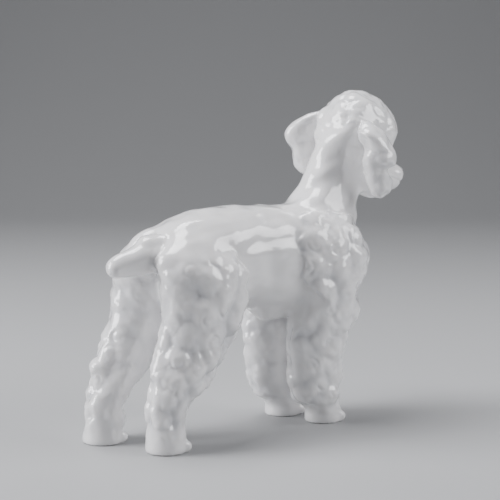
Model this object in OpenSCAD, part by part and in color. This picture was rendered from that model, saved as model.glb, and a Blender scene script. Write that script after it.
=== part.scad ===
// Standing poodle figurine: hollow porcelain castings joined with slip.
// Frame: +X towards the muzzle, +Y towards the dog's left, +Z up. The paws stand on Z = 0 and
// the origin is under the middle of the figure. Units are millimetres.

/* [Castings] */
// Thickness of the cast wall
wall = 3.2; // [2.4:0.1:4]
// Diameter of the vent under the belly
vent_diameter = 3; // [2:0.5:4]
// Diameter of the air holes pierced where two castings join
air_hole_diameter = 5; // [3:0.5:6]
// Depth of the modelled curls
curl_depth = 1.1; // [0:0.1:1.5]

/* [Pose] */
// Turn of the head towards the dog's left, in degrees
head_turn = 4; // [-4:1:10]
// Nod of the muzzle below level, in degrees
head_nod = 18; // [10:1:24]
// Tilt of the head towards the dog's right, in degrees
head_tilt = 3; // [0:1:8]
// How far the left hind paw stands behind the right one
hind_stagger = 16; // [4:1:18]
// How far the left fore paw stands behind the right one
fore_stagger = 8; // [2:1:12]

/* [Smoothness] */
// Sides of each section
sides = 24; // [20:2:26]
// Steps between two sections of the legs
leg_steps = 3; // [2:1:3]

/* [Hidden] */

glaze = [0.95, 0.95, 0.94];
right = -1;                      // side of the dog, as the sign of Y
left = 1;
far = 300;                       // larger than the figure, for cutting blocks
body_steps = 2;                  // steps between two sections of the other castings
bore_fn = 48;
toe_fn = 10;

fore_seam_z = 55;                // levels at which the legs are cut from the trunk
hind_seam_z = 61;
girth_x = -14;                   // between the fore and the hind legs
neck_seam = [28, 131, 58, 102];  // nape and throat ends of the neck's lower seam, as X and Z
head_seam = [36, 149, 63, 130];  // nape and throat ends of the seam under the head
tail_seam = [-75, 97.5];         // middle of the tail's seam, as X and Z
tail_drop = 14;                  // slope of the tail below level, in degrees
head_place = [62, 0, 157];       // middle of the skull
fore_paw = [29, 13];             // right fore paw, as X and distance from the middle
hind_paw = [-75, 18];            // right hind paw, as X and distance from the middle
vent_x = -24;
figure_middle = [-0.744, 0.219];   // middle of the figure's outline, seen from above

// Trunk sections along the spine: top X and Z, bottom X and Z, half width
trunk_sections = [
    [-70, 98, -70, 90, 5],
    [-69, 105, -70, 82, 12],
    [-65, 112, -67, 73, 18],
    [-57, 116.5, -60, 67, 23],
    [-44, 119.5, -48, 65, 25],
    [-30, 120.5, -34, 66, 24],
    [-16, 120.5, -18, 66, 22],
    [-2, 120, -2, 62, 22],
    [9, 119, 13, 59, 23],
    [17, 120, 30, 59, 24],
    [22, 122, 44, 66, 24],
    [25, 126, 54, 82, 21],
    [28, 131, 58, 102, 16],
    [31, 138, 60, 116, 13.5]
];

// Neck sections, from inside the trunk up into the head
neck_sections = [
    [25, 126, 54, 84, 20],
    [28, 131, 58, 102, 16],
    [31, 138, 60, 116, 13.5],
    [36, 149, 63, 130, 12.8],
    [41, 157, 66, 141, 12.5],
    [47, 164, 68, 149, 11]
];

// Foreleg rings: Z, X ahead of the paw, Y out from the middle, half length, half width
foreleg_rings = [
    [-2, 1, 13, 10, 9.5],
    [2, 1.6, 13, 10.6, 10.3],
    [6, 1.4, 13, 10.3, 10],
    [10, -0.8, 13, 10.5, 9.8],
    [14, -4, 13, 13.6, 10.8],
    [24, -5, 13.3, 16, 11.5],
    [36, -5, 13.8, 17, 12],
    [48, -4, 14.5, 18.5, 12.8],
    [60, 0, 15.5, 20.5, 14],
    [71, 0, 16, 19.3, 14.8],
    [78, 0.5, 16.3, 21, 14.6],
    [86, 1.5, 16.3, 24, 14],
    [96, 1.5, 15.5, 24.6, 13.2],
    [105, 0, 13.5, 22, 12.6],
    [112, -1.5, 10.5, 16.5, 10.5],
    [116, -2.5, 8, 9, 6]
];

// Hind leg rings: Z, X ahead of the paw, Y out from the middle, half length, half width
hind_rings = [
    [-2, -1, 18, 10, 10],
    [2, -0.6, 18, 10.8, 11],
    [6, -0.8, 18, 10.4, 10.6],
    [11, -1, 18, 9.7, 10],
    [18, -0.8, 18, 10, 10.5],
    [27, 2, 18, 11.2, 11.2],
    [35, 7, 17.9, 15, 12],
    [43, 12.5, 17.7, 18.8, 12.8],
    [52, 17, 17.4, 21.3, 14],
    [62, 21, 17.2, 22.2, 15],
    [76, 23.8, 17, 23.4, 15.8],
    [90, 23.5, 15.5, 23, 15.4],
    [100, 22, 13, 17.5, 12.5],
    [107, 20, 10, 10.5, 8],
    [110.5, 18.5, 8, 4, 3.5]
];

// Ear rings in the head's own frame, from the tip: Z, X, Y, half length, half width
right_ear_rings = [
    [-33, 4.5, 25.8, 2.2, 2],
    [-31.5, 4.5, 26, 4.2, 3.6],
    [-28, 4.6, 26.5, 6.7, 5.4],
    [-22, 1.9, 26, 8.9, 6],
    [-18, -2.6, 25.5, 7.6, 6],
    [-14.5, -2.5, 27.5, 9.4, 8],
    [-10, -3, 27, 9.2, 8.2],
    [-4, -8, 24.5, 10.7, 7.6],
    [1.5, -9.2, 21, 6.6, 5.4],
    [5, -9.6, 17.5, 3, 2.4]
];

left_ear_rings = [
    [-28.5, -5, 23.5, 3.6, 3],
    [-26, -5.5, 24.5, 6.8, 4.8],
    [-21.5, -5.8, 25.5, 9, 6],
    [-17.5, -6.8, 25.8, 9.6, 6.2],
    [-14.5, -8, 27.3, 11.8, 7.8],
    [-10, -9.5, 28, 13.2, 8.6],
    [-4, -9.5, 26, 12.4, 8],
    [2, -8.5, 21.5, 9.5, 6],
    [7, -8, 17, 5, 3.5]
];

// Skull and topknot in the head's own frame: top X and Z, bottom X and Z, half width
skull_sections = [
    [-19, 3, -19, -4, 5],
    [-18, 11, -18, -10, 12.5],
    [-12, 19, -14, -14, 16.5],
    [-2, 22.5, -5, -16, 17.8],
    [9, 21.5, 6, -15, 17.8],
    [18, 16.5, 15, -12, 15.5],
    [24, 9, 21, -8, 11],
    [26, 2, 24, -4, 4]
];

// Muzzle in the head's own frame: top X and Z, bottom X and Z, half width
muzzle_sections = [
    [4, -1, 2, -20, 12],
    [14, -2, 11, -21, 11],
    [22, -4.6, 19, -21.8, 9.2],
    [30, -7.4, 28, -23.4, 8.2],
    [38, -8.4, 36, -23.6, 7.6],
    [42, -10, 41, -22, 5.2],
    [43.5, -14, 43, -18, 2]
];

// Tail sections before it is sloped, from the tip: top X and Z, bottom X and Z, half width
tail_sections = [
    [-24, 1.6, -24, -1.6, 1.8],
    [-21.5, 4.4, -21.5, -4.2, 4.6],
    [-16, 5.8, -16, -5.8, 6],
    [-8, 7.4, -8, -7.8, 7.2],
    [0, 9.2, 0, -9.6, 8.6],
    [9, 10, 9, -12, 9.5]
];

// A point of a smooth curve through b and c, at t from 0 to 1, with neighbours a and d
function through(a, b, c, d, t) =
    0.5 * (2 * b + (c - a) * t + (2 * a - 5 * b + 4 * c - d) * t * t
           + (3 * b - a - 3 * c + d) * t * t * t);

// Sections with more sections between them, along that curve
function finer(s, steps) = let (last = len(s) - 1) [
    for (i = [0:last - 1], k = [0:steps - 1])
        through(s[max(i - 1, 0)], s[i], s[i + 1], s[min(i + 2, last)], k / steps),
    s[last]
];

// Sections of a list from one index to another
function part_of(list, from, to) = [for (i = [from:to]) list[i]];

// Height of the curls at an angle round a section and a place along it
function curl(a, along) =
    curl_depth * sin(5 * a + 60 * sin(8 * along)) * sin(26 * along + 45 * sin(2 * a));

// Ring of points from a section that hangs between a top and a bottom point
function hanging_ring(s, inset, lumps) =
    let (top = [s[0], s[1]], bottom = [s[2], s[3]], middle = (top + bottom) / 2,
         half = (top - bottom) / 2, tall = norm(half), up = half / tall)
    [for (i = [0:sides - 1]) let (a = 360 * i / sides,
         out = lumps * curl(a, s[0]) * max(0, cos(a)) - inset,
         high = max(0.2, tall + out) * cos(a))
        [middle[0] + up[0] * high, max(0.2, s[4] + out) * sin(a), middle[1] + up[1] * high]];

// Ring of points from a level section
function level_ring(s, side, inset, lumps) =
    [for (i = [0:sides - 1]) let (a = -360 * i / sides,
         out = lumps * curl(a, s[0] + 40 * side) - inset)
        [s[1] + max(0.2, s[3] + out) * cos(a), side * s[2] + max(0.2, s[4] + out) * sin(a), s[0]]];

// Closed solid through rings of equal count
module skin(rings) {
    n = len(rings[0]);
    last = len(rings) - 1;
    points = [for (r = rings) each r];
    sleeve = [for (j = [0:last - 1], i = [0:n - 1]) let (k = (i + 1) % n)
        each [[j * n + i, j * n + k, (j + 1) * n + k], [j * n + i, (j + 1) * n + k, (j + 1) * n + i]]];
    start = [for (i = [n - 1:-1:0]) i];
    end = [for (i = [0:n - 1]) last * n + i];
    polyhedron(points, concat(sleeve, [start], [end]), convexity = 6);
}

module hanging_loft(sections, steps, inset = 0, lumps = 0) {
    skin([for (s = finer(sections, steps)) hanging_ring(s, inset, lumps)]);
}

// The stretch of a loft from one of its sections to another, which end it flat
module stretch(sections, from, to) {
    skin([for (s = part_of(finer(sections, body_steps), from * body_steps, to * body_steps))
        hanging_ring(s, 0, 0)]);
}

module level_loft(rings, steps, side, inset = 0, lumps = 0) {
    skin([for (s = finer(rings, steps)) level_ring(s, side, inset, s[0] > 9 ? lumps : 0)]);
}

// Its children in the glaze colour, moved so the origin is under the middle of the figure
module casting() {
    color(glaze) translate([-figure_middle[0], -figure_middle[1], 0]) children();
}

// Its children as one closed skin
module cast_shape() {
    resize([0, 0, 0]) children();
}

module toes(place, side) {
    for (i = [-1.5:1:1.5])
        translate([place[0] - 0.8 * i * i, side * place[1] + 4.6 * i, 0])
            hull() {
                translate([0, 0, 2.6]) sphere(3.2, $fn = toe_fn);
                translate([-5, 0, 5.4]) sphere(3.4, $fn = toe_fn);
            }
}

function fore_x(side) = fore_paw[0] - (side == left ? fore_stagger : 0);
function hind_x(side) = hind_paw[0] - (side == left ? hind_stagger : 0);

// The staggered leg leans, so its haunch is half as far behind as its paw
function leaning(rings, side) = [for (r = rings)
    [r[0], r[1] + (side == left ? hind_stagger / 2 * min(1, r[0] / 84) : 0), r[2], r[3], r[4]]];

module foreleg_loft(side) {
    translate([fore_x(side), 0, 0]) level_loft(foreleg_rings, leg_steps, side, 0, 1);
}

module foreleg_hollow(side) {
    translate([fore_x(side), 0, 0]) level_loft(part_of(foreleg_rings, 4, 13), 1, side, wall);
}

module hind_leg_loft(side) {
    translate([hind_x(side), 0, 0]) level_loft(leaning(hind_rings, side), leg_steps, side, 0, 1);
}

module hind_leg_hollow(side) {
    translate([hind_x(side), 0, 0])
        level_loft(leaning(part_of(hind_rings, 4, 13), side), 1, side, wall);
}

module in_head_frame() {
    translate(head_place) rotate([head_tilt, 0, head_turn]) rotate([0, head_nod, 0]) children();
}

module head_shape() {
    in_head_frame() {
        hanging_loft(skull_sections, body_steps, 0, 1.2);
        hanging_loft(muzzle_sections, body_steps);
        translate([41.3, 0, -12]) sphere(3.4, $fn = 14);
        hull()
            for (side = [right, left]) {
                translate([9, side * 4.5, -22]) sphere(9.5, $fn = 20);
                translate([22, side * 3.5, -25]) sphere(6.2, $fn = 20);
            }
    }
}

module head_hollow() {
    in_head_frame() hanging_loft(part_of(skull_sections, 1, 6), 1, wall);
}

// Space on one side of a seam that runs from a nape point to a throat point
module above_seam(seam) {
    slope = atan2(seam[1] - seam[3], seam[2] - seam[0]);
    translate([seam[0], 0, seam[1]]) rotate([0, slope, 0])
        translate([-far / 2, -far / 2, 0]) cube(far);
}

module below_seam(seam) {
    slope = atan2(seam[1] - seam[3], seam[2] - seam[0]);
    translate([seam[0], 0, seam[1]]) rotate([0, slope, 0])
        translate([-far / 2, -far / 2, -far]) cube(far);
}

// Air hole square to a seam, through both walls
module air_hole(seam) {
    slope = atan2(seam[1] - seam[3], seam[2] - seam[0]);
    translate([(seam[0] + seam[2]) / 2, 0, (seam[1] + seam[3]) / 2]) rotate([0, slope, 0]) air_drill();
}

module air_drill() {
    cylinder(h = 4 * wall, d = air_hole_diameter, center = true, $fn = bore_fn);
}

module in_tail_frame() {
    translate([tail_seam[0], 0, tail_seam[1]]) rotate([0, -tail_drop, 0]) children();
}

module foreleg_air_hole(side) {
    translate([fore_x(side) - 2, side * 15, fore_seam_z]) air_drill();
}

module hind_leg_air_hole(side) {
    translate([hind_x(side) + 20 + (side == left ? hind_stagger / 3 : 0), side * 17, hind_seam_z]) air_drill();
}

module ear_air_hole(side) {
    in_head_frame() translate([-6, side * 18, -5]) rotate([90, 0, 0]) air_drill();
}

// Everything below a level
module below(z) {
    translate([-far / 2, -far / 2, z - far]) cube(far);
}

module above(z) {
    translate([-far / 2, -far / 2, z]) cube(far);
}

// Everything below the leg seams
module below_legs() {
    translate([girth_x, -far / 2, fore_seam_z - far]) cube(far);
    translate([girth_x - far, -far / 2, hind_seam_z - far]) cube(far);
}

module trunk() {
    casting() difference() {
        cast_shape() difference() {
            union() {
                stretch(trunk_sections, 0, 12);
                for (side = [right, left]) {
                    foreleg_loft(side);
                    hind_leg_loft(side);
                }
                in_tail_frame() stretch(tail_sections, 4, 5);
            }
            below_legs();
        }
        cast_shape() trunk_hollow();
        air_hole(neck_seam);
        for (side = [right, left]) {
            foreleg_air_hole(side);
            hind_leg_air_hole(side);
        }
        translate([vent_x, 0, 66]) cylinder(h = 30, d = vent_diameter, center = true, $fn = bore_fn);
    }
}

// The trunk's own hollow stops a wall short of each seam
module trunk_hollow() {
    difference() {
        union() {
            hanging_loft(part_of(trunk_sections, 2, 12), 1, wall);
            for (side = [right, left]) {
                foreleg_hollow(side);
                hind_leg_hollow(side);
            }
        }
        translate([0, 0, wall]) below_legs();
        translate([-wall, 0, -wall]) above_seam(neck_seam);
    }
}

// The neck runs from the second of its sections to the fourth, which lie in its seams, and the
// trunk and the head end at the same sections
module neck() {
    casting() difference() {
        stretch(neck_sections, 1, 3);
        cast_shape() difference() {
            hanging_loft(neck_sections, 1, wall);
            translate([-wall, 0, -wall]) above_seam(head_seam);
            translate([wall, 0, wall]) below_seam(neck_seam);
        }
        air_hole(neck_seam);
        air_hole(head_seam);
    }
}

module head() {
    casting() difference() {
        cast_shape() union() {
            head_shape();
            stretch(neck_sections, 3, 5);
        }
        cast_shape() difference() {
            union() {
                head_hollow();
                hanging_loft(neck_sections, 1, wall);
            }
            translate([wall, 0, wall]) below_seam(head_seam);
        }
        air_hole(head_seam);
        for (side = [right, left]) ear_air_hole(side);
    }
}

module ear(side, rings) {
    casting() difference() {
        cast_shape() difference() {
            in_head_frame() level_loft(rings, leg_steps, side);
            head_shape();
            hanging_loft(neck_sections, body_steps);
        }
        cast_shape() in_head_frame() difference() {
            level_loft(part_of(rings, 2, len(rings) - 2), 1, side, wall);
            translate([-far / 2, -17.5 - wall, -far / 2]) cube([far, 35 + 2 * wall, far]);
        }
        ear_air_hole(side);
    }
}

module foreleg(side) {
    casting() difference() {
        cast_shape() difference() {
            union() {
                foreleg_loft(side);
                toes([fore_x(side) + 9, fore_paw[1]], side);
            }
            above(fore_seam_z);
            below(0);
        }
        cast_shape() difference() {
            foreleg_hollow(side);
            above(fore_seam_z - wall);
        }
        foreleg_air_hole(side);
    }
}

module hind_leg(side) {
    casting() difference() {
        cast_shape() difference() {
            union() {
                hind_leg_loft(side);
                toes([hind_x(side) + 8, hind_paw[1]], side);
            }
            above(hind_seam_z);
            below(0);
        }
        cast_shape() difference() {
            hind_leg_hollow(side);
            above(hind_seam_z - wall);
        }
        hind_leg_air_hole(side);
    }
}

// The tail is solid and sits in the notch between the rump and the left haunch
module tail() {
    casting() cast_shape() difference() {
        in_tail_frame() stretch(tail_sections, 0, 4);
        for (side = [right, left]) hind_leg_loft(side);
    }
}

module left_ear() { ear(left, left_ear_rings); }
module right_ear() { ear(right, right_ear_rings); }
module left_foreleg() { foreleg(left); }
module right_foreleg() { foreleg(right); }
module left_hind_leg() { hind_leg(left); }
module right_hind_leg() { hind_leg(right); }

trunk();
neck();
head();
left_ear();
right_ear();
left_foreleg();
right_foreleg();
left_hind_leg();
right_hind_leg();
tail();
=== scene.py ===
import itertools
import math

import bpy
import numpy as np
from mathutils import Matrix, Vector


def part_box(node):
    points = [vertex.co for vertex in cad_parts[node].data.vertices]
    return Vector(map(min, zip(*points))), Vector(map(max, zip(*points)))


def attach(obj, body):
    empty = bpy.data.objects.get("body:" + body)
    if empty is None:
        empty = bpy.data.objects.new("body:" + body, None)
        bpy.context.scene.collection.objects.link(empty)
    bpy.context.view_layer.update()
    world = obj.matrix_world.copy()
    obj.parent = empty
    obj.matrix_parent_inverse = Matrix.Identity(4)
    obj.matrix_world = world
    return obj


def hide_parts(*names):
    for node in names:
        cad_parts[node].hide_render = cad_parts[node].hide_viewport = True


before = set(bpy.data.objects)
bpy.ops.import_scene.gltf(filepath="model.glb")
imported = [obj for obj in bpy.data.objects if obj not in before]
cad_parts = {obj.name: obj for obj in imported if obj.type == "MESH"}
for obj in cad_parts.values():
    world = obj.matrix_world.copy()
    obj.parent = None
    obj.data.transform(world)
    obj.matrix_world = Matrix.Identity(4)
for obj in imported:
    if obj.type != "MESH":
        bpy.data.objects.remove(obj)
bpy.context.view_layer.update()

import openvdb
from mathutils import Matrix, Vector

# The grid that the forms are joined on: its voxel in millimetres, and how many voxels a distance reaches.
VOXEL = 0.64
BAND = 11
GRID_LOW = (-116, -50, -14)
GRID_HIGH = (118, 50, 194)
RIGHT = -1
LEFT = 1

# The forms are in millimetres, as in the part: +X towards the muzzle, +Y the dog's left, +Z up.
# Sections along the body, the head and the tail: top x, top z, bottom x, bottom z, half width.
TRUNK = [
    (-70, 98, -70, 90, 5),
    (-69, 105, -70, 82, 12),
    (-65, 112, -67, 73, 18),
    (-57, 116.5, -60, 67, 23),
    (-44, 119.5, -48, 65, 25),
    (-30, 120.5, -34, 66, 24),
    (-16, 120.5, -18, 66, 22),
    (-2, 120, -2, 62, 22),
    (9, 119, 13, 59, 23),
    (17, 120, 30, 59, 24),
    (22, 122, 44, 66, 24),
    (25, 126, 54, 82, 21),
    (28, 131, 58, 102, 16),
    (31, 138, 60, 116, 13.5),
    (36, 149, 63, 130, 12.8),
    (41, 157, 66, 141, 12.5),
    (47, 164, 68, 149, 11),
]
# Level rings of the legs, from the floor up, and of the ears in the head's own frame: z, x, y,
# half length, half width. A leg's x is counted from its paw.
FORELEG = [
    (-2, 1, 13, 10, 9.5),
    (2, 1.6, 13, 10.6, 10.3),
    (6, 1.4, 13, 10.3, 10),
    (10, -0.8, 13, 10.5, 9.8),
    (14, -4, 13, 13.6, 10.8),
    (24, -5, 13.3, 16, 11.5),
    (36, -5, 13.8, 17, 12),
    (48, -4, 14.5, 18.5, 12.8),
    (60, 0, 15.5, 20.5, 14),
    (71, 0, 16, 19.3, 14.8),
    (78, 0.5, 16.3, 21, 14.6),
    (86, 1.5, 16.3, 24, 14),
    (96, 1.5, 15.5, 24.6, 13.2),
    (105, 0, 13.5, 22, 12.6),
    (112, -1.5, 10.5, 16.5, 10.5),
    (116, -2.5, 8, 9, 6),
]
HIND_LEG = [
    (-2, -1, 18, 10, 10),
    (2, -0.6, 18, 10.8, 11),
    (6, -0.8, 18, 10.4, 10.6),
    (11, -1, 18, 9.7, 10),
    (18, -0.8, 18, 10, 10.5),
    (27, 2, 18, 11.2, 11.2),
    (35, 7, 17.9, 15, 12),
    (43, 12.5, 17.7, 18.8, 12.8),
    (52, 17, 17.4, 21.3, 14),
    (62, 21, 17.2, 22.2, 15),
    (76, 23.8, 17, 23.4, 15.8),
    (90, 23.5, 15.5, 23, 15.4),
    (100, 22, 13, 17.5, 12.5),
    (107, 20, 10, 10.5, 8),
    (110.5, 18.5, 8, 4, 3.5),
]
RIGHT_EAR = [
    (-33, 4.5, 25.8, 2.2, 2),
    (-31.5, 4.5, 26, 4.2, 3.6),
    (-28, 4.6, 26.5, 6.7, 5.4),
    (-22, 1.9, 26, 8.9, 6),
    (-18, -2.6, 25.5, 7.6, 6),
    (-14.5, -2.5, 27.5, 9.4, 8),
    (-10, -3, 27, 9.2, 8.2),
    (-4, -8, 24.5, 10.7, 7.6),
    (1.5, -9.2, 21, 6.6, 5.4),
    (5, -9.6, 17.5, 3, 2.4),
]
LEFT_EAR = [
    (-28.5, -5, 23.5, 3.6, 3),
    (-26, -5.5, 24.5, 6.8, 4.8),
    (-21.5, -5.8, 25.5, 9, 6),
    (-17.5, -6.8, 25.8, 9.6, 6.2),
    (-14.5, -8, 27.3, 11.8, 7.8),
    (-10, -9.5, 28, 13.2, 8.6),
    (-4, -9.5, 26, 12.4, 8),
    (2, -8.5, 21.5, 9.5, 6),
    (7, -8, 17, 5, 3.5),
]
# In the head's own frame.
SKULL = [
    (-19, 3, -19, -4, 5),
    (-18, 11, -18, -10, 12.5),
    (-12, 19, -14, -14, 16.5),
    (-2, 22.5, -5, -16, 17.8),
    (9, 21.5, 6, -15, 17.8),
    (18, 16.5, 15, -12, 15.5),
    (24, 9, 21, -8, 11),
    (26, 2, 24, -4, 4),
]
MUZZLE = [
    (4, -1, 2, -20, 12),
    (14, -2, 11, -21, 11),
    (22, -4.6, 19, -21.8, 9.2),
    (30, -7.4, 28, -23.4, 8.2),
    (38, -8.4, 36, -23.6, 7.6),
    (42, -10, 41, -22, 5.2),
    (43.5, -14, 43, -18, 2),
]
# In the tail's own frame, with the tip at the low end of x.
TAIL = [
    (-24, 1.6, -24, -1.6, 1.8),
    (-21.5, 4.4, -21.5, -4.2, 4.6),
    (-16, 5.8, -16, -5.8, 6),
    (-8, 7.4, -8, -7.8, 7.2),
    (0, 9.2, 0, -9.6, 8.6),
    (9, 10, 9, -12, 9.5),
]
# Big tufts on the hind legs: ahead of the paw, out from the middle, height and radius.
HIND_TUFTS = [
    (-3, 18, 40, 6.5),
    (-3.5, 17, 24, 6.2),
    (21, 18, 43, 7.5),
    (15, 21, 35, 6),
    (6, 23, 36, 6),
    (3, 13.5, 12.5, 6),
]
# Tufts at the top of the haunches, beside the root of the tail: x, y, z and radius.
HAUNCH_TUFTS = [
    (-68, 12, 103, 6),
    (-67, -12, 95.5, 7),
]
FORE_PAW = (29, 13)
HIND_PAW = (-75, 18)
FORE_STAGGER = 8
HIND_STAGGER = 16
HEAD_PLACE = (62, 0, 157)
HEAD_TURN = 4
HEAD_NOD = 18
HEAD_TILT = 3
TAIL_SEAM = (-75, 97.5)
TAIL_DROP = 14
# Both seams of the neck run from a point on the nape to one on the throat: x, z, x, z.
NECK = TRUNK[12:15]
NECK_SEAM = NECK[0][:4]
HEAD_SEAM = NECK[-1][:4]
FORE_SEAM_Z = 55
HIND_SEAM_Z = 61
# The legs in front of this are forelegs.
GIRTH_X = -14
# Everything below is body and legs, and everything above the second is head and ears.
BODY_TOP_Z = 121
HEAD_LOW_Z = 125

# How finely the sections are drawn.
STEPS = 8
SIDES = 72
BALL_SIDES = 32
ROD_SIDES = 28
ROD_END_RINGS = 8

# The locks: how many are tried, the cell for finding neighbours and how many of them one point feels.
LOCK_TRIES = 60000
LOCK_CELL = 9
LOCKS_NEAR = 7
BLOCK = 30000
NEIGHBOURS = list(itertools.product((-1, 0, 1), repeat=3))

CAMERA_TURN = math.radians(36.03)
CAMERA_DIP = math.radians(7.5)
CAMERA_PLACE = (-0.48567, -0.65533, 0.2028)
CAMERA_LENS = 110
FLOOR_REACH = 4
SWEEP_START = 1.0
SWEEP_RADIUS = 0.8


def turned(axis, degrees):
    return np.array(Matrix.Rotation(math.radians(degrees), 3, axis))


HEAD_AXES = turned("Z", HEAD_TURN) @ turned("X", HEAD_TILT) @ turned("Y", HEAD_NOD)
TAIL_AXES = turned("Y", -TAIL_DROP)


def from_head(points):
    return points @ HEAD_AXES.T + np.array(HEAD_PLACE, float)


def in_head(points):
    return (points - np.array(HEAD_PLACE, float)) @ HEAD_AXES


def from_tail(points):
    return points @ TAIL_AXES.T + np.array((TAIL_SEAM[0], 0, TAIL_SEAM[1]), float)


def in_tail(points):
    return (points - np.array((TAIL_SEAM[0], 0, TAIL_SEAM[1]), float)) @ TAIL_AXES


# ---------------------------------------------------------------- smooth forms


def finer(sections, steps):
    """Sections with more between them, along a smooth curve through them."""
    s = np.array(sections, float)
    last = len(s) - 1
    out = []
    for i in range(last):
        a = s[max(i - 1, 0)]
        b = s[i]
        c = s[i + 1]
        d = s[min(i + 2, last)]
        for k in range(steps):
            t = k / steps
            cubic = 3 * b - a - 3 * c + d
            square = 2 * a - 5 * b + 4 * c - d
            out.append(0.5 * (2 * b + (c - a) * t + square * t * t + cubic * t**3))
    out.append(s[last])
    return np.array(out)


def skin(rings):
    """Points and outward triangles of a closed solid through rings of points."""
    count, n = rings.shape[:2]
    points = rings.reshape(-1, 3)
    middles = rings[[0, -1]].mean(1)
    points = np.vstack([points, middles])
    i = np.arange(n)
    k = (i + 1) % n
    faces = []
    for j in range(count - 1):
        low = j * n
        high = low + n
        faces.append(np.stack([low + i, low + k, high + k], 1))
        faces.append(np.stack([low + i, high + k, high + i], 1))
    start = np.full(n, count * n)
    end = start + 1
    faces.append(np.stack([start, k, i], 1))
    faces.append(np.stack([end, (count - 1) * n + i, (count - 1) * n + k], 1))
    faces = np.vstack(faces)
    p = points[faces]
    if np.einsum("ij,ij->i", p[:, 0], np.cross(p[:, 1], p[:, 2])).sum() < 0:
        faces = faces[:, ::-1]
    return points, faces


def hanging(sections, fullness=1.0):
    """A solid through upright or tilted oval sections. A fullness below 1 squares them."""
    s = finer(sections, STEPS)
    a = np.linspace(0, 2 * np.pi, SIDES, endpoint=False)
    top = s[:, [0, 1]]
    bottom = s[:, [2, 3]]
    middle = (top + bottom)[:, None] / 2
    half = (top - bottom)[:, None] / 2
    across = np.sign(np.sin(a)) * np.abs(np.sin(a)) ** fullness
    xz = middle + half * (np.sign(np.cos(a)) * np.abs(np.cos(a)) ** fullness)[None, :, None]
    y = np.maximum(s[:, 4], 0.2)[:, None] * across[None]
    return skin(np.stack([xz[..., 0], y, xz[..., 1]], -1))


def level(rings, side):
    """A solid through level ovals, on the dog's left or right."""
    s = finer(rings, STEPS)
    a = np.linspace(0, 2 * np.pi, SIDES, endpoint=False)
    x = s[:, 1, None] + np.maximum(s[:, 3], 0.2)[:, None] * np.cos(a)[None]
    y = side * s[:, 2, None] + np.maximum(s[:, 4], 0.2)[:, None] * np.sin(a)[None]
    z = np.repeat(s[:, 0, None], SIDES, 1)
    return skin(np.stack([x, y, z], -1))


def ball(centre, radii):
    """An ellipsoid with its axes along X, Y and Z."""
    u = np.linspace(0, np.pi, BALL_SIDES // 2 + 1)[1:-1]
    v = np.linspace(0, 2 * np.pi, BALL_SIDES, endpoint=False)
    ring = np.stack([np.cos(v), np.sin(v), np.zeros(BALL_SIDES)], 1)
    rings = np.array([np.sin(t) * ring + [0, 0, -np.cos(t)] for t in u])
    return skin(rings * np.array(radii, float) + np.array(centre, float))


def capsule(start, end, r1, r2):
    """A round-ended rod that tapers from r1 to r2."""
    start = np.array(start, float)
    end = np.array(end, float)
    way = end - start
    length = np.linalg.norm(way)
    way = way / length
    oblique = [0.31, 0.57, 0.76]
    across = np.cross(way, oblique)
    across = across / np.linalg.norm(across)
    up = np.cross(way, across)
    v = np.linspace(0, 2 * np.pi, ROD_SIDES, endpoint=False)
    circle = np.cos(v)[:, None] * across + np.sin(v)[:, None] * up
    rings = []
    for t in np.linspace(-85, 0, ROD_END_RINGS):
        t = math.radians(t)
        rings.append(start + way * r1 * math.sin(t) + circle * r1 * math.cos(t))
    for t in np.linspace(0, 85, ROD_END_RINGS):
        t = math.radians(t)
        rings.append(end + way * r2 * math.sin(t) + circle * r2 * math.cos(t))
    return skin(np.array(rings))


def placed(mesh, move):
    points, faces = mesh
    return move(points), faces


# ---------------------------------------------------------------- distance fields


class Field:
    """Distance in millimetres to one form, on its own block of a shared grid."""

    def __init__(self, mesh):
        points, faces = mesh
        grid = openvdb.FloatGrid.createLevelSetFromPolygons(
            np.ascontiguousarray(points, np.float32),
            triangles=np.ascontiguousarray(faces, np.uint32),
            transform=openvdb.createLinearTransform(voxelSize=VOXEL),
            halfWidth=BAND,
        )
        low, high = grid.evalActiveVoxelBoundingBox()
        self.low = np.array(low)
        self.values = np.empty(np.array(high) - self.low + 1, np.float32)
        grid.copyToArray(self.values, ijk=tuple(int(i) for i in low))

    def block(self, low):
        start = self.low - low
        end = start + np.array(self.values.shape)
        return tuple(slice(int(a), int(b)) for a, b in zip(start, end))


def sample(values, low, points):
    """Trilinear reading of a grid at points in millimetres."""
    q = points / VOXEL - low
    top = np.array(values.shape) - 1.001
    inside = np.all((q >= 0) & (q <= top), axis=1)
    q = np.clip(q, 0, top)
    i = q.astype(int)
    f = q - i
    out = np.zeros(len(points))
    for dx in (0, 1):
        wx = f[:, 0] if dx else 1 - f[:, 0]
        for dy in (0, 1):
            wy = f[:, 1] if dy else 1 - f[:, 1]
            for dz in (0, 1):
                wz = f[:, 2] if dz else 1 - f[:, 2]
                out += wx * wy * wz * values[i[:, 0] + dx, i[:, 1] + dy, i[:, 2] + dz]
    out[~inside] = BAND * VOXEL
    return out


def blend_min(a, b, k):
    """The lesser of two distances, with a fillet of about k where they meet."""
    h = np.maximum(k - np.abs(a - b), 0) / k
    return np.minimum(a, b) - h * h * k / 4


def blend_max(a, b, k):
    return -blend_min(-a, -b, k)


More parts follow.
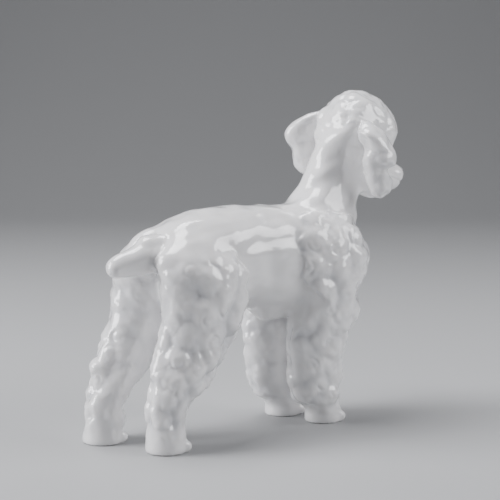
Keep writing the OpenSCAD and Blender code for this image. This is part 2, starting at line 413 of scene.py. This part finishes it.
class Sculpt:
    """The whole figure as one distance field, with the furred and the clipped forms apart."""

    def __init__(self, low, high):
        self.low = np.floor(np.array(low) / VOXEL).astype(int)
        shape = np.ceil(np.array(high) / VOXEL).astype(int) - self.low
        far = BAND * VOXEL
        self.all = np.full(shape, far, np.float32)
        self.fur = np.full(shape, far, np.float32)
        self.bare = np.full(shape, far, np.float32)
        self.parts = {}

    def add(self, name, mesh, k, fur=False):
        field = Field(mesh)
        where = field.block(self.low)
        self.all[where] = blend_min(self.all[where], field.values, k)
        side = self.fur if fur else self.bare
        side[where] = np.minimum(side[where], field.values)
        self.parts[name] = field

    def cut(self, mesh, k):
        field = Field(mesh)
        where = field.block(self.low)
        self.all[where] = blend_max(self.all[where], -field.values, k)

    def distance(self, name, points):
        field = self.parts[name]
        return sample(field.values, field.low, points)

    def mesh(self):
        """The skin of the whole figure, cut off flat at the floor."""
        z = (np.arange(self.all.shape[2]) + self.low[2]) * VOXEL
        values = np.maximum(self.all, -z[None, None, :].astype(np.float32))
        grid = openvdb.FloatGrid(BAND * VOXEL)
        grid.copyFromArray(values, ijk=tuple(int(i) for i in self.low))
        grid.transform = openvdb.createLinearTransform(voxelSize=VOXEL)
        points, _, quads = grid.convertToPolygons(isovalue=0, adaptivity=0)
        quads = quads.astype(np.int64)
        faces = np.vstack([quads[:, [0, 1, 2]], quads[:, [0, 2, 3]]])
        points = points.astype(float)
        p = points[faces]
        if np.einsum("ij,ij->i", p[:, 0], np.cross(p[:, 1], p[:, 2])).sum() < 0:
            faces = faces[:, ::-1]
        return points, faces


def hind_lean(z, side):
    """How far the left hind leg, which stands further back, leans forwards at a height."""
    return HIND_STAGGER / 2 * min(1, z / 84) if side == LEFT else 0


def leaning(rings, side):
    return [(z, x + hind_lean(z, side), y, a, b) for z, x, y, a, b in rings]


def fore_x(side):
    return FORE_PAW[0] - (FORE_STAGGER if side == LEFT else 0)


def hind_x(side):
    return HIND_PAW[0] - (HIND_STAGGER if side == LEFT else 0)


def side_name(side):
    return "left" if side == LEFT else "right"


def add_toes(sculpt, x, y, side):
    """Four toes, the middle two ahead of the outer two."""
    for i in (-1.5, -0.5, 0.5, 1.5):
        ahead = x + 0.6 - 0.8 * i * i
        across = side * y + 4.7 * i
        start = (ahead, across, 2.9)
        end = (ahead - 6, side * y + 3.9 * i, 5.6)
        sculpt.add("toe", capsule(start, end, 3.1, 3.3), 0.9)


def build_forms():
    """Every form in its place. The number after each form is its fillet in millimetres."""
    sculpt = Sculpt(GRID_LOW, GRID_HIGH)
    sculpt.add("trunk", hanging(TRUNK, fullness=0.93), 0.5)
    sculpt.add("belly", capsule((-2, -2.5, 65), (9, -2, 63.5), 7.5, 5), 5)
    for side in (RIGHT, LEFT):
        x = fore_x(side)
        points, faces = level(FORELEG, side)
        sculpt.add(side_name(side) + "_foreleg", (points + [x, 0, 0], faces), 3.5, fur=True)
        add_toes(sculpt, x + 9, FORE_PAW[1], side)
        x = hind_x(side)
        points, faces = level(leaning(HIND_LEG, side), side)
        sculpt.add(side_name(side) + "_hind_leg", (points + [x, 0, 0], faces), 3.5, fur=True)
        add_toes(sculpt, x + 8, HIND_PAW[1], side)
        for ahead, out, z, radius in HIND_TUFTS:
            place = (x + hind_lean(z, side) + ahead, side * out, z)
            tuft = ball(place, (radius, radius, 0.85 * radius))
            sculpt.add("tuft", tuft, 4, fur=True)
    for x, y, z, radius in HAUNCH_TUFTS:
        sculpt.add("haunch_tuft", ball((x, y, z), (1.2 * radius, radius, radius)), 3, fur=True)
    sculpt.add("tail", placed(hanging(TAIL), from_tail), 1.6)
    sculpt.add("tail_root", ball((-74, 0, 104.5), (6, 5, 4)), 2.5)
    sculpt.add("skull", placed(hanging(SKULL), from_head), 5, fur=True)
    sculpt.add("muzzle", placed(hanging(MUZZLE), from_head), 4)
    for side in (RIGHT, LEFT):
        cheek = capsule((10, side * 8.5, -8), (20, side * 5.8, -11), 6, 3.6)
        sculpt.add("cheek", placed(cheek, from_head), 4)
        brow = capsule((13, side * 11.5, 5.6), (21.5, side * 5.8, 6.4), 2.8, 2.6)
        sculpt.add("brow", placed(brow, from_head), 3)
        jowl = capsule((9, side * 4.5, -22), (22, side * 3.5, -25), 9.5, 6.2)
        sculpt.add("jowl", placed(jowl, from_head), 6)
    nose = ball((41.3, 0, -12), (3.2, 3.9, 3.2))
    sculpt.add("nose", placed(nose, from_head), 0.8)
    for side in (RIGHT, LEFT):
        socket = ball((20.6, side * 9.6, 0.4), (4, 3.3, 2.2))
        sculpt.cut(placed(socket, from_head), 1.4)
        eye = ball((18.2, side * 8.2, 0.2), (3.1, 2.8, 2))
        sculpt.add("eye", placed(eye, from_head), 0.4)
        nostril = ball((44.1, side * 1.9, -12.2), (1.4, 0.9, 0.8))
        sculpt.cut(placed(nostril, from_head), 0.4)
        ear = level(LEFT_EAR if side == LEFT else RIGHT_EAR, side)
        sculpt.add(side_name(side) + "_ear", placed(ear, from_head), 1.4, fur=True)
    return sculpt


# ---------------------------------------------------------------- modelled surface


def edges_of(faces):
    e = np.vstack([faces[:, [0, 1]], faces[:, [1, 2]], faces[:, [2, 0]]])
    e.sort(axis=1)
    n = faces.max() + 1
    key = np.unique(e[:, 0] * n + e[:, 1])
    return np.stack([key // n, key % n], 1)


def softened(values, edges, rounds, share=0.5):
    """Values at the vertices, each moved towards the mean of its neighbours."""
    n = len(values)
    flat = values.reshape(n, -1).copy()
    a, b = edges.T
    ties = np.bincount(a, minlength=n) + np.bincount(b, minlength=n)
    for _ in range(rounds):
        for c in range(flat.shape[1]):
            v = flat[:, c]
            total = np.bincount(a, v[b], n) + np.bincount(b, v[a], n)
            flat[:, c] = v + share * (total / ties - v)
    return flat.reshape(values.shape)


def normals_of(points, faces):
    p = points[faces]
    across = np.cross(p[:, 1] - p[:, 0], p[:, 2] - p[:, 0])
    out = np.zeros_like(points)
    for c in range(3):
        for corner in range(3):
            out[:, c] += np.bincount(faces[:, corner], across[:, c], len(points))
    return out / (np.linalg.norm(out, axis=1)[:, None] + 1e-12)


def ramp(v, low, high):
    """From 0 at low to 1 at high, with soft ends."""
    t = np.clip((v - low) / (high - low), 0, 1)
    return t * t * (3 - 2 * t)


def swell(points, wavelength, seed):
    """Slow unevenness from a handful of waves in fixed directions, about -1 to 1."""
    waves = 10
    rng = np.random.default_rng(seed)
    out = np.zeros(len(points))
    for _ in range(waves):
        way = rng.normal(size=3)
        way = way / np.linalg.norm(way) * 2 * np.pi / (wavelength * rng.uniform(0.75, 1.4))
        out += np.sin(points @ way + rng.uniform(0, 2 * np.pi))
    return out / math.sqrt(waves / 2) / 1.6


def crowded(cells, cell, p, gap):
    """Whether a chosen point in this cell or a neighbouring one is nearer to p than the gap."""
    for dx, dy, dz in NEIGHBOURS:
        for q in cells.get((cell[0] + dx, cell[1] + dy, cell[2] + dz), ()):
            d = p - q
            if d @ d < gap * gap:
                return True
    return False


def scattered(points, weight, spacing, seed):
    """Indexes of vertices about a spacing apart, and never closer than a cell if that is less."""
    rng = np.random.default_rng(seed)
    open_to = np.flatnonzero(weight > 0.3)
    cells = {}
    chosen = []
    for i in rng.permutation(open_to)[:LOCK_TRIES]:
        p = points[i]
        cell = tuple((p // LOCK_CELL).astype(int))
        if not crowded(cells, cell, p, spacing[i]):
            cells.setdefault(cell, []).append(p)
            chosen.append(i)
    return np.array(chosen)


def lumps(points, normals, weight, spacing, seed):
    """Height of modelled locks, about 0 to 1: soft uneven domes that run into one another."""
    rng = np.random.default_rng(seed)
    seeds = scattered(points, weight, spacing, seed)
    n = len(seeds)
    place = points[seeds]
    up = normals[seeds]
    down = np.array([0, 0, -0.6]) + rng.normal(size=(n, 3))
    along = down - (down * up).sum(1)[:, None] * up
    along /= np.linalg.norm(along, axis=1)[:, None]
    across = np.cross(up, along)
    gap = spacing[seeds]
    long = gap * rng.uniform(0.75, 1.15, n)
    wide = gap * rng.uniform(0.6, 0.9, n)
    bend = rng.choice([-1, 1], n) * rng.uniform(0.2, 0.6, n) / gap
    rise = rng.uniform(0.55, 1.2, n)
    curled = rng.uniform(size=n) < 0.45
    eye_u = long * rng.uniform(0.1, 0.45, n)
    eye_v = wide * rng.uniform(-0.35, 0.35, n)
    eye_r = gap * rng.uniform(0.2, 0.34, n)
    turn = rng.uniform(0, 2 * np.pi, n)
    broad = 0.075 * gap
    soft = 0.11
    out = np.zeros(len(points))
    place32 = place.astype(np.float32)
    square = (place32**2).sum(1)
    active = np.flatnonzero(weight > 0.01)
    for start in range(0, len(active), BLOCK):
        idx = active[start:start + BLOCK]
        p = points[idx]
        far = square[None] - 2 * p.astype(np.float32) @ place32.T
        near = np.argpartition(far, LOCKS_NEAR, axis=1)[:, :LOCKS_NEAR]
        offset = p[:, None] - place[near]
        u = (offset * along[near]).sum(2)
        v = (offset * across[near]).sum(2) - bend[near] * u * u
        facing = (normals[idx][:, None] * up[near]).sum(2)
        dome = rise[near] * (1.05 - (u / long[near]) ** 2 - (v / wide[near]) ** 2)
        dome -= 4 * np.maximum(0.35 - facing, 0)
        du = u - eye_u[near]
        dv = v - eye_v[near]
        rho = np.hypot(du, dv)
        ring = np.exp(-(((rho - eye_r[near]) / broad[near]) ** 2))
        arc = 0.5 + 0.5 * np.cos(np.arctan2(dv, du) - turn[near])
        pit = np.exp(-((rho / (0.5 * eye_r[near])) ** 2))
        dome -= curled[near] * (0.34 * ring * arc + 0.08 * pit)
        out[idx] = soft * np.log(np.exp(np.maximum(dome, -1) / soft).sum(1))
    return np.clip(out, -0.6, 1.4)


def along_table(rings, z, column):
    table = np.array(rings, float)
    return np.interp(z, table[:, 0], table[:, column])


def clipped_edges(points):
    """Where the long coat starts on the shoulders and the thighs, with a crisp edge, 0 to 1."""
    x, y, z = points.T
    wander = 2.2 * swell(points, 17, 21) + 0.8 * swell(points, 7, 22)
    out = np.zeros(len(points))
    for side in (RIGHT, LEFT):
        mine = y * side > 0
        middle = fore_x(side) + along_table(FORELEG, z, 1)
        rear = middle - 0.94 * along_table(FORELEG, z, 3) + 9 * (1 - ramp(z, 68, 84))
        top = 115.5 - 0.010 * (x - fore_x(side)) ** 2
        mantle = np.minimum(x - rear, top - z - 0.6 * np.maximum(14 - np.abs(y), 0)) + wander
        middle = hind_x(side) + along_table(leaning(HIND_LEG, side), z, 1)
        front = middle + 0.95 * along_table(HIND_LEG, z, 3)
        thigh = front - x + wander
        here = np.where(x > GIRTH_X, ramp(mantle, -0.6, 0.9), ramp(thigh, -0.6, 0.9))
        out = np.where(mine, here, out)
    return out


def long_coat(sculpt, points, head, on_skull):
    """How far each vertex belongs to the long coat: for its locks, and for its thickness."""
    z = points[:, 2]
    fur = sample(sculpt.fur, sculpt.low, points)
    bare = sample(sculpt.bare, sculpt.low, points)
    body = z < BODY_TOP_Z
    hip = body & (points[:, 0] < GIRTH_X)
    wide = ramp(bare - fur, -4.5, -1.5)
    close = ramp(bare - fur, -1.0, 1.4)
    edged = np.minimum(wide, clipped_edges(points))
    furred = np.where(body & (z > 62), edged, close)
    blend = ramp(z, 57, 67)
    furred = np.where(body & (z > 57) & (z < 67), close + blend * (edged - close), furred)
    furred = furred * ramp(z, 3.5, 15)
    rim = np.where(hip, furred * (1 - ramp(z, 98, 108)), furred)
    furred = np.where(hip, furred * (1 - ramp(z, 88, 106)), furred)
    top = ramp(head[:, 2] - 0.1 * head[:, 0], -4, 6)
    face = ramp(head[:, 0], 9, 19) * (1 - ramp(head[:, 2] - 0.35 * np.abs(head[:, 1]), 1, 8))
    furred = np.where(on_skull > 0.5, furred * top * (1 - face), furred)
    return furred, np.where(body, rim, furred)


def lock_relief(points, normals, furred, on_ear, on_skull):
    """Height of the locks in millimetres: lower on the ears, the haunches and the legs' inner sides."""
    z = points[:, 2]
    body = z < BODY_TOP_Z
    hip = body & (points[:, 0] < GIRTH_X)
    size = np.where(on_skull + on_ear > 0.5, 7.5, 12)
    size = np.where(z < 50, 10, size)
    big = lumps(points, normals, furred, size, 47)
    small = lumps(points, normals, furred, size * 0.56, 12)
    strength = np.where(on_skull > 0.5, 1.1, 2.6)
    strength = np.where(on_ear > 0.5, 0.8, strength)
    strength = np.where(hip & (z > 50), strength * (1 - 0.3 * ramp(z, 60, 95)), strength)
    strength = np.where(body & ~hip, 0.85 * strength, strength)
    inward = -normals[:, 1] * np.sign(points[:, 1])
    strength = np.where(body & (z < 84), strength * (1 - 0.6 * ramp(inward, 0.25, 0.8)), strength)
    return strength * (big - 0.6) + 0.28 * strength * (small - 0.6)


def model_surface(sculpt, points, faces):
    """Pushes the locks, the clipped coat's unevenness and the face's lines into the surface."""
    edges = edges_of(faces)
    points = softened(points, edges, 2, 0.4)
    normals = normals_of(points, faces)
    head = in_head(points)
    z = points[:, 2]
    ears = np.minimum(sculpt.distance("left_ear", points), sculpt.distance("right_ear", points))
    skull = sculpt.distance("skull", points)
    on_ear = ramp(skull - ears, -0.5, 1.5) * (ears < 3)
    on_skull = (1 - on_ear) * (skull < 3) * (z > HEAD_LOW_Z)
    furred, coated = long_coat(sculpt, points, head, on_skull)
    relief = lock_relief(points, normals, furred, on_ear, on_skull)
    lift = furred * (relief + 0.5 * swell(points, 24, 3) + 0.12 * swell(points, 4.6, 4))
    lift += coated * np.where(z < BODY_TOP_Z, 0.2 + 0.7 * ramp(z, 50, 80), 0.2)
    smooth = (1 - furred) * ramp(z, 6, 14)
    lift += smooth * (0.42 * swell(points, 15, 5) + 0.17 * swell(points, 7.5, 6))
    lift += face_lines(head, z)
    lift = softened(lift, edges, 2, 0.5)
    points = points + normals * lift[:, None]
    points = softened(points, edges, 1, 0.35)
    points[:, 2] = np.maximum(points[:, 2], 0)
    foot = (points[:, 2] < 0.45) & (normals[:, 2] < -0.85)
    points[foot, 2] = 0
    # Painted shade: the hollows between the locks on the coat are marked here, to grey the glaze's colour
    # there.
    shade_in_hollows = np.clip(0.2 - relief / 1.5, 0, 1) * furred
    pool = softened(shade_in_hollows, edges, 2, 0.5)
    return points, normals_of(points, faces), pool


def face_lines(head, z):
    """Grooves, as a height below zero: the line of the mouth and the split under the nose."""
    x, y, up = head.T
    near = (z > HEAD_LOW_Z) & (x > 18)
    line_z = -17.6 + 0.02 * (x - 30) - 0.010 * np.maximum(30 - x, 0) ** 2
    mouth = np.exp(-(((up - line_z) / 0.55) ** 2)) * ramp(x, 22, 26)
    split = np.exp(-((y / 0.45) ** 2)) * ramp(x, 40, 41.5) * ramp(-up, 13, 14) * ramp(up, -18, -17)
    return -1.0 * near * (0.75 * mouth + 0.5 * split)


# ---------------------------------------------------------------- pieces


class Shell:
    """Points with normals and a value of painted shade for the creases, and the triangles over them."""

    def __init__(self, points, normals, pool, faces):
        self.points = points
        self.normals = normals
        self.pool = pool
        self.faces = faces

    def split(self, d):
        """Cuts along d = 0 and returns the shells on the low and the high side."""
        d = np.where(np.abs(d) < 1e-6, 1e-6, d)
        low = d < 0
        f = self.faces
        mixed = low[f].any(1) & ~low[f].all(1)
        cut = f[mixed]
        n_low = low[cut].sum(1)
        lone_side = n_low == 1
        lone = np.where(lone_side, low[cut].argmax(1), (~low[cut]).argmax(1))
        rows = np.arange(len(cut))
        a = cut[rows, lone]
        b = cut[rows, (lone + 1) % 3]
        c = cut[rows, (lone + 2) % 3]
        n = len(self.points)
        pairs = np.vstack([np.stack([a, b], 1), np.stack([a, c], 1)])
        pairs.sort(axis=1)
        key, back = np.unique(pairs[:, 0] * n + pairs[:, 1], return_inverse=True)
        i = key // n
        j = key % n
        t = (d[i] / (d[i] - d[j]))[:, None]
        points = np.vstack([self.points, self.points[i] * (1 - t) + self.points[j] * t])
        normals = np.vstack([self.normals, self.normals[i] * (1 - t) + self.normals[j] * t])
        pool = np.concatenate([self.pool, self.pool[i] * (1 - t[:, 0]) + self.pool[j] * t[:, 0]])
        ab = n + back[:len(cut)]
        ac = n + back[len(cut):]
        lone_faces = np.stack([a, ab, ac], 1)
        pair_faces = np.vstack([np.stack([ab, b, c], 1), np.stack([ab, c, ac], 1)])
        twice = np.concatenate([lone_side, lone_side])
        all_low = f[low[f].all(1)]
        all_high = f[~low[f].any(1)]
        low_faces = np.vstack([all_low, lone_faces[lone_side], pair_faces[~twice]])
        high_faces = np.vstack([all_high, lone_faces[~lone_side], pair_faces[twice]])
        return Shell(points, normals, pool, low_faces), Shell(points, normals, pool, high_faces)

    def tidy(self):
        """The same shell without the points that no face uses."""
        used, back = np.unique(self.faces, return_inverse=True)
        faces = back.reshape(-1, 3)
        return Shell(self.points[used], self.normals[used], self.pool[used], faces)

    def joined(self, other):
        n = len(self.points)
        return Shell(
            np.vstack([self.points, other.points]),
            np.vstack([self.normals, other.normals]),
            np.concatenate([self.pool, other.pool]),
            np.vstack([self.faces, other.faces + n]),
        ).welded()

    def welded(self):
        """The same shell with points within a hundredth of a micrometre made one."""
        key = np.round(self.points * 1e5).astype(np.int64)
        _, first, back = np.unique(key, axis=0, return_index=True, return_inverse=True)
        faces = back.reshape(-1)[self.faces]
        a, b, c = faces.T
        whole = (a != b) & (b != c) & (c != a)
        return Shell(self.points[first], self.normals[first], self.pool[first], faces[whole])

    def labels(self):
        """The number of the connected patch that each face is in."""
        n = len(self.points)
        label = np.arange(n)
        e = edges_of(self.faces)
        while True:
            low = np.minimum(label[e[:, 0]], label[e[:, 1]])
            before = label.copy()
            np.minimum.at(label, e[:, 0], low)
            np.minimum.at(label, e[:, 1], low)
            label = label[label]
            if np.array_equal(before, label):
                return label[self.faces[:, 0]]


def cut_off(shell, d, near):
    """The patch of the low side of d that lies nearest a point, and all the rest as one shell."""
    low, high = shell.split(d)
    low = low.tidy()
    label = low.labels()
    middle = low.points[low.faces].mean(1)
    closest = np.linalg.norm(middle - np.array(near, float), axis=1).argmin()
    mine = label == label[closest]
    piece = Shell(low.points, low.normals, low.pool, low.faces[mine]).tidy()
    rest = high.tidy()
    if (~mine).any():
        rest = rest.joined(Shell(low.points, low.normals, low.pool, low.faces[~mine]).tidy())
    return piece, rest


def rim_loops(faces):
    """The open edges, in order, as loops of vertex indexes."""
    e = np.vstack([faces[:, [0, 1]], faces[:, [1, 2]], faces[:, [2, 0]]])
    n = int(faces.max()) + 1
    forward = e[:, 0] * n + e[:, 1]
    backward = e[:, 1] * n + e[:, 0]
    open_edges = e[~np.isin(forward, backward)]
    after = {int(a): int(b) for a, b in open_edges}
    loops = []
    while after:
        start, step = after.popitem()
        loop = [start]
        while step != start and step in after:
            loop.append(step)
            step = after.pop(step)
        if len(loop) > 2:
            loops.append(loop)
    return loops


def closed_mesh(name, shell, skin_material, sole_material):
    """A mesh object in metres: the shell with its seams closed, and its own normals outside."""
    points = shell.points
    faces = shell.faces
    caps = []
    extra = []
    for loop in rim_loops(faces):
        middle = len(points) + len(extra)
        extra.append(points[loop].mean(0))
        for a, b in zip(loop, loop[1:] + loop[:1]):
            caps.append((b, a, middle))
    skin_faces = len(faces)
    if extra:
        points = np.vstack([points, extra])
        faces = np.vstack([faces, caps])
    mesh = bpy.data.meshes.new(name)
    mesh.vertices.add(len(points))
    mesh.vertices.foreach_set("co", (points * 0.001).astype(np.float32).ravel())
    mesh.loops.add(len(faces) * 3)
    mesh.loops.foreach_set("vertex_index", faces.astype(np.int32).ravel())
    mesh.polygons.add(len(faces))
    mesh.polygons.foreach_set("loop_start", np.arange(0, len(faces) * 3, 3, dtype=np.int32))
    mesh.polygons.foreach_set("use_smooth", np.ones(len(faces), bool))
    mesh.materials.append(skin_material)
    mesh.materials.append(sole_material)
    corner = points[faces]
    across = np.cross(corner[:, 1] - corner[:, 0], corner[:, 2] - corner[:, 0])
    across /= np.linalg.norm(across, axis=1)[:, None] + 1e-12
    sole = (corner[:, :, 2].max(1) < 0.02) & (across[:, 2] < -0.9)
    mesh.polygons.foreach_set("material_index", sole.astype(np.int32))
    mesh.update(calc_edges=True)
    mesh.validate()
    normals = np.vstack([shell.normals, np.zeros((len(extra), 3))])
    normals /= np.linalg.norm(normals, axis=1)[:, None] + 1e-12
    by_corner = normals[faces]
    by_corner[skin_faces:] = across[skin_faces:, None]
    by_corner[sole] = (0, 0, -1)
    if len(mesh.loops) == len(faces) * 3:
        mesh.normals_split_custom_set(by_corner.reshape(-1, 3).tolist())
    pool = np.concatenate([shell.pool, np.zeros(len(extra))])
    # The painted crease shade, carried to the glaze material.
    layer = mesh.attributes.new("painted_crease_shade", "FLOAT", "POINT")
    if len(mesh.vertices) == len(pool):
        layer.data.foreach_set("value", pool.astype(np.float32))
    obj = bpy.data.objects.new(name, mesh)
    bpy.context.scene.collection.objects.link(obj)
    return obj


def seam_side(points, seam):
    """Distance above a seam that runs from a nape point to a throat point."""
    x1, z1, x2, z2 = seam
    run = math.hypot(x2 - x1, z2 - z1)
    return ((points[:, 0] - x1) * (z1 - z2) + (points[:, 2] - z1) * (x2 - x1)) / run


def split_into_pieces(sculpt, shell):
    """The skin as the part's ten castings, by the names of their nodes."""
    pieces = {}
    aside = 5
    p = shell.points
    others = np.minimum(sculpt.distance("left_hind_leg", p), sculpt.distance("right_hind_leg", p))
    d = np.maximum(in_tail(p)[:, 0], sculpt.distance("tail", p) - others)
    pieces["tail"], rest = cut_off(shell, d, from_tail(np.array([[-24.0, 0, 0]]))[0])
    for side in (LEFT, RIGHT):
        name = side_name(side) + "_ear"
        p = rest.points
        others = np.minimum(sculpt.distance("skull", p), sculpt.distance("trunk", p))
        d = np.where(p[:, 2] > 118, sculpt.distance(name, p) - others, aside)
        pieces[name], rest = cut_off(rest, d, from_head(np.array([[-6.0, side * 32, -12]]))[0])
    pieces["head"], rest = cut_off(rest, -seam_side(rest.points, HEAD_SEAM), (62, 0, 180))
    pieces["neck"], rest = cut_off(rest, -seam_side(rest.points, NECK_SEAM), (45, 14, 130))
    for side in (LEFT, RIGHT):
        name = side_name(side)
        p = rest.points
        d = np.where(p[:, 0] > GIRTH_X, p[:, 2] - FORE_SEAM_Z, aside)
        pieces[name + "_foreleg"], rest = cut_off(rest, d, (fore_x(side), side * FORE_PAW[1], 0))
        p = rest.points
        d = np.where(p[:, 0] < GIRTH_X, p[:, 2] - HIND_SEAM_Z, aside)
        pieces[name + "_hind_leg"], rest = cut_off(rest, d, (hind_x(side), side * HIND_PAW[1], 0))
    pieces["trunk"] = rest
    return pieces


# ---------------------------------------------------------------- materials


class Surface:
    """A new material, with short ways to build its nodes on the object's own coordinates."""

    def __init__(self, name):
        self.material = bpy.data.materials.new(name)
        self.material.use_nodes = True
        self.nodes = self.material.node_tree.nodes
        self.link = self.material.node_tree.links.new
        self.shader = self.nodes["Principled BSDF"]
        self.place = self.nodes.new("ShaderNodeTexCoord")

    def noise(self, scale, detail):
        node = self.nodes.new("ShaderNodeTexNoise")
        node.inputs["Scale"].default_value = scale
        node.inputs["Detail"].default_value = detail
        self.link(self.place.outputs["Object"], node.inputs["Vector"])
        return node.outputs["Fac"]

    def tones(self, source, start, dark, end, light):
        node = self.nodes.new("ShaderNodeValToRGB")
        node.color_ramp.elements[0].position = start
        node.color_ramp.elements[0].color = (*dark, 1)
        node.color_ramp.elements[1].position = end
        node.color_ramp.elements[1].color = (*light, 1)
        self.link(source, node.inputs["Fac"])
        return node.outputs["Color"]

    def roughness(self, source, low, high):
        node = self.nodes.new("ShaderNodeMapRange")
        node.inputs["To Min"].default_value = low
        node.inputs["To Max"].default_value = high
        self.link(source, node.inputs["Value"])
        self.link(node.outputs["Result"], self.shader.inputs["Roughness"])

    def bump(self, source, strength, distance):
        node = self.nodes.new("ShaderNodeBump")
        node.inputs["Strength"].default_value = strength
        node.inputs["Distance"].default_value = distance
        self.link(source, node.inputs["Height"])
        self.link(node.outputs["Normal"], self.shader.inputs["Normal"])
        return node.outputs["Normal"]


def glaze_material():
    """Clear glossy glaze over white porcelain, with painted shade: a little greyer in the hollows between
    the locks.
    """
    surface = Surface("glazed_porcelain")
    shader = surface.shader
    shader.inputs["IOR"].default_value = 1.5
    shader.inputs["Subsurface Weight"].default_value = 0.06
    shader.inputs["Subsurface Radius"].default_value = (1.0, 0.85, 0.7)
    shader.inputs["Subsurface Scale"].default_value = 0.0012
    shader.inputs["Coat Weight"].default_value = 1
    shader.inputs["Coat Roughness"].default_value = 0.02
    shader.inputs["Coat IOR"].default_value = 1.52
    clouds = surface.noise(28, 3)
    white = surface.tones(clouds, 0.35, (0.9, 0.895, 0.9), 0.65, (0.93, 0.92, 0.92))
    # Painted shade: the glaze's colour greys towards a darker tint in the hollows between the locks.
    pool = surface.nodes.new("ShaderNodeAttribute")
    pool.attribute_name = "painted_crease_shade"
    share = surface.nodes.new("ShaderNodeMath")
    share.operation = "MULTIPLY"
    share.inputs[1].default_value = 0.55
    surface.link(pool.outputs["Fac"], share.inputs[0])
    painted_shade_mix = surface.nodes.new("ShaderNodeMix")
    painted_shade_mix.data_type = "RGBA"
    surface.link(share.outputs[0], painted_shade_mix.inputs["Factor"])
    surface.link(white, painted_shade_mix.inputs["A"])
    painted_shade_mix.inputs["B"].default_value = (0.57, 0.58, 0.61, 1)
    surface.link(painted_shade_mix.outputs["Result"], shader.inputs["Base Color"])
    surface.roughness(surface.noise(420, 2), 0.12, 0.26)
    normal = surface.bump(surface.noise(160, 2), 0.12, 0.0006)
    surface.link(normal, shader.inputs["Coat Normal"])
    return surface.material


def bare_material():
    """The wiped, unglazed soles: matt, faintly warm, with kiln-sand specks."""
    surface = Surface("bare_porcelain")
    grain = surface.noise(900, 4)
    colour = surface.tones(grain, 0.3, (0.55, 0.5, 0.43), 0.48, (0.8, 0.775, 0.725))
    surface.link(colour, surface.shader.inputs["Base Color"])
    surface.roughness(grain, 0.55, 0.85)
    surface.bump(grain, 0.3, 0.0003)
    return surface.material


# ---------------------------------------------------------------- studio


def plain_material(name, colour, roughness):
    m = bpy.data.materials.new(name)
    m.use_nodes = True
    shader = m.node_tree.nodes["Principled BSDF"]
    shader.inputs["Base Color"].default_value = (*colour, 1)
    shader.inputs["Roughness"].default_value = roughness
    return m


def softbox(name, place, target, size, power):
    data = bpy.data.lights.new(name, "AREA")
    data.shape = "RECTANGLE"
    data.size = size[0]
    data.size_y = size[1]
    data.energy = power
    data.color = (0.97, 0.97, 1)
    obj = bpy.data.objects.new(name, data)
    bpy.context.scene.collection.objects.link(obj)
    obj.location = place
    way = Vector(target) - Vector(place)
    obj.rotation_euler = way.to_track_quat("-Z", "Y").to_euler()


def studio():
    """A pale paper sweep behind and under the figure, and three soft lights."""
    mesh = bpy.data.meshes.new("floor")
    away = Vector((math.sin(CAMERA_TURN), math.cos(CAMERA_TURN), 0))
    side = Vector((away.y, -away.x, 0))
    profile = [(-3, 0), (-1.5, 0), (0, 0), (SWEEP_START, 0)]
    for degrees in range(5, 95, 5):
        a = math.radians(degrees)
        rise = SWEEP_RADIUS - SWEEP_RADIUS * math.cos(a)
        profile.append((SWEEP_START + SWEEP_RADIUS * math.sin(a), rise))
    profile.append((SWEEP_START + SWEEP_RADIUS, FLOOR_REACH))
    verts = []
    for run, height in profile:
        for across in (-FLOOR_REACH, FLOOR_REACH):
            verts.append(away * run + side * across + Vector((0, 0, height)))
    quads = [(2 * i, 2 * i + 1, 2 * i + 3, 2 * i + 2) for i in range(len(profile) - 1)]
    mesh.from_pydata(verts, [], quads)
    mesh.polygons.foreach_set("use_smooth", [True] * len(quads))
    floor = bpy.data.objects.new("floor", mesh)
    mesh.materials.append(plain_material("floor_paper", (0.4, 0.405, 0.41), 0.6))
    bpy.context.scene.collection.objects.link(floor)
    world = bpy.data.worlds.new("studio")
    world.use_nodes = True
    background = world.node_tree.nodes["Background"]
    background.inputs["Color"].default_value = (0.55, 0.57, 0.6, 1)
    background.inputs["Strength"].default_value = 0.03
    bpy.context.scene.world = world
    softbox("softbox_left", (-0.92, 0.5, 0.5), (0, 0, 0.09), (0.5, 0.8), 18)
    softbox("softbox_top", (-0.1, 0.2, 1), (0, 0, 0.09), (0.6, 0.5), 12)
    softbox("softbox_right", (0.6, -0.56, 0.52), (0, 0, 0.1), (0.65, 0.5), 7.5)


def camera():
    data = bpy.data.cameras.new("camera")
    data.sensor_width = 36
    data.lens = CAMERA_LENS
    data.clip_start = 0.05
    obj = bpy.data.objects.new("camera", data)
    bpy.context.scene.collection.objects.link(obj)
    obj.location = CAMERA_PLACE
    level_run = math.cos(CAMERA_DIP)
    way = Vector((
        math.sin(CAMERA_TURN) * level_run,
        math.cos(CAMERA_TURN) * level_run,
        -math.sin(CAMERA_DIP),
    ))
    obj.rotation_euler = way.to_track_quat("-Z", "Y").to_euler()
    bpy.context.scene.camera = obj


# ---------------------------------------------------------------- the figure


def frame_shift():
    """From the forms' own place to the frame's, in millimetres, by the neck's box."""
    rings = hanging(NECK)[0]
    low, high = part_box("neck")
    middle = (np.array(low) + np.array(high)) / 2 * 1000
    own = (rings.min(0) + rings.max(0)) / 2
    shift = middle - own
    shift[2] = 0
    return shift


sculpt = build_forms()
points, faces = sculpt.mesh()
points, normals, pool = model_surface(sculpt, points, faces)
pieces = split_into_pieces(sculpt, Shell(points, normals, pool, faces))
glaze = glaze_material()
bare = bare_material()
shift = frame_shift()
for node, shell in pieces.items():
    shell.points = shell.points + shift
    piece = closed_mesh(node + "_porcelain", shell, glaze, bare)
    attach(piece, "root")
    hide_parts(node)

studio()
camera()
